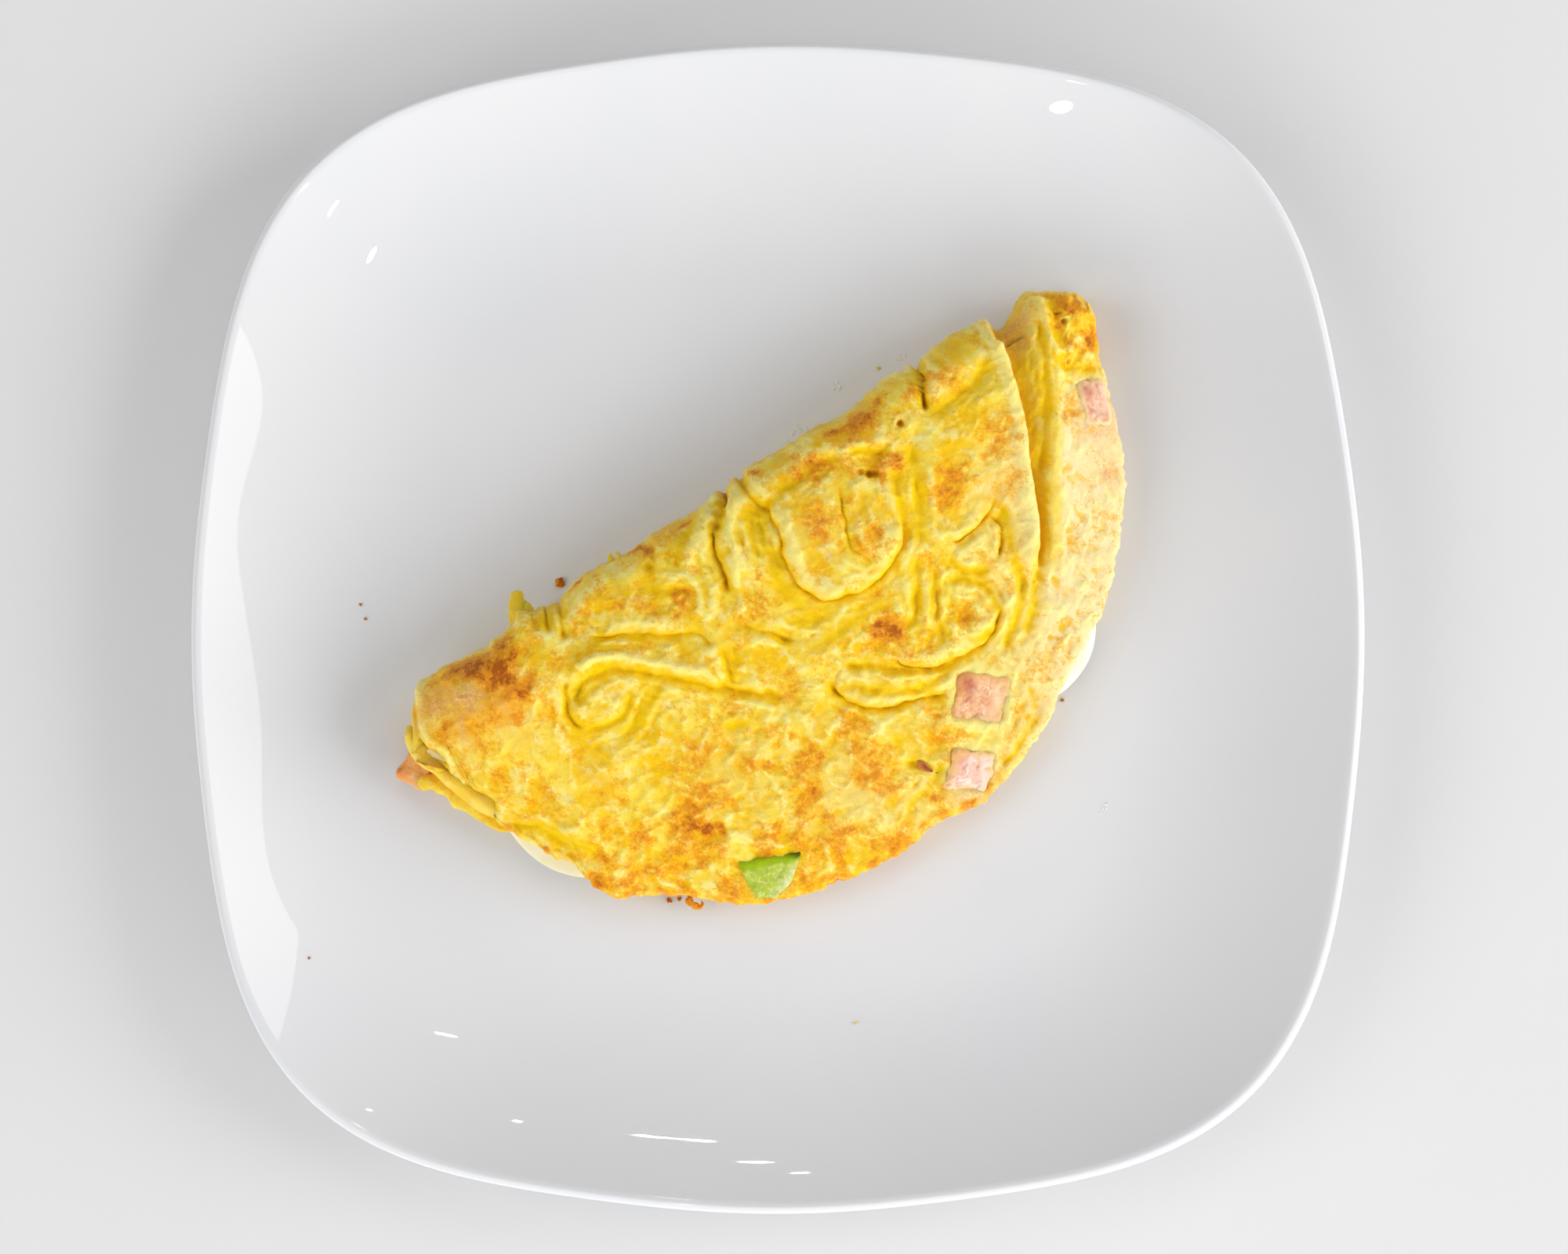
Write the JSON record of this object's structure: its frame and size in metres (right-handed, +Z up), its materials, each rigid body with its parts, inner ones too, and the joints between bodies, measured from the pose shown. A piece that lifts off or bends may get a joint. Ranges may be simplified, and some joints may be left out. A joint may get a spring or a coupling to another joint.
{
  "type": "folded omelette on plate",
  "caption": "Half-moon egg omelette folded over ham, green pepper and sliced cheese, lying on a white rounded-square coupe plate.",
  "frame": {"origin": "middle of the plate's foot, at the level of the table it stands on", "axes": "+Z up, out of the plate; +X and +Y along the plate's straight sides, with the omelette's fold towards +Y"},
  "size_m": [0.26, 0.26, 0.031],
  "materials": {
    "porcelain": "smooth white glaze",
    "cooked_egg": "soft fried egg with browned patches",
    "cheese": "soft sliced cheese",
    "ham": "moist cooked ham",
    "pepper": "wet green pepper"
  },
  "bodies": {
    "root": {"plate": "porcelain", "egg": "cooked_egg", "cheese_left": "cheese", "cheese_right": "cheese", "ham_square": "ham", "ham_edge": "ham", "ham_side": "ham", "ham_sliver": "ham", "ham_tip": "ham", "pepper": "pepper"}
  },
  "joints": []
}
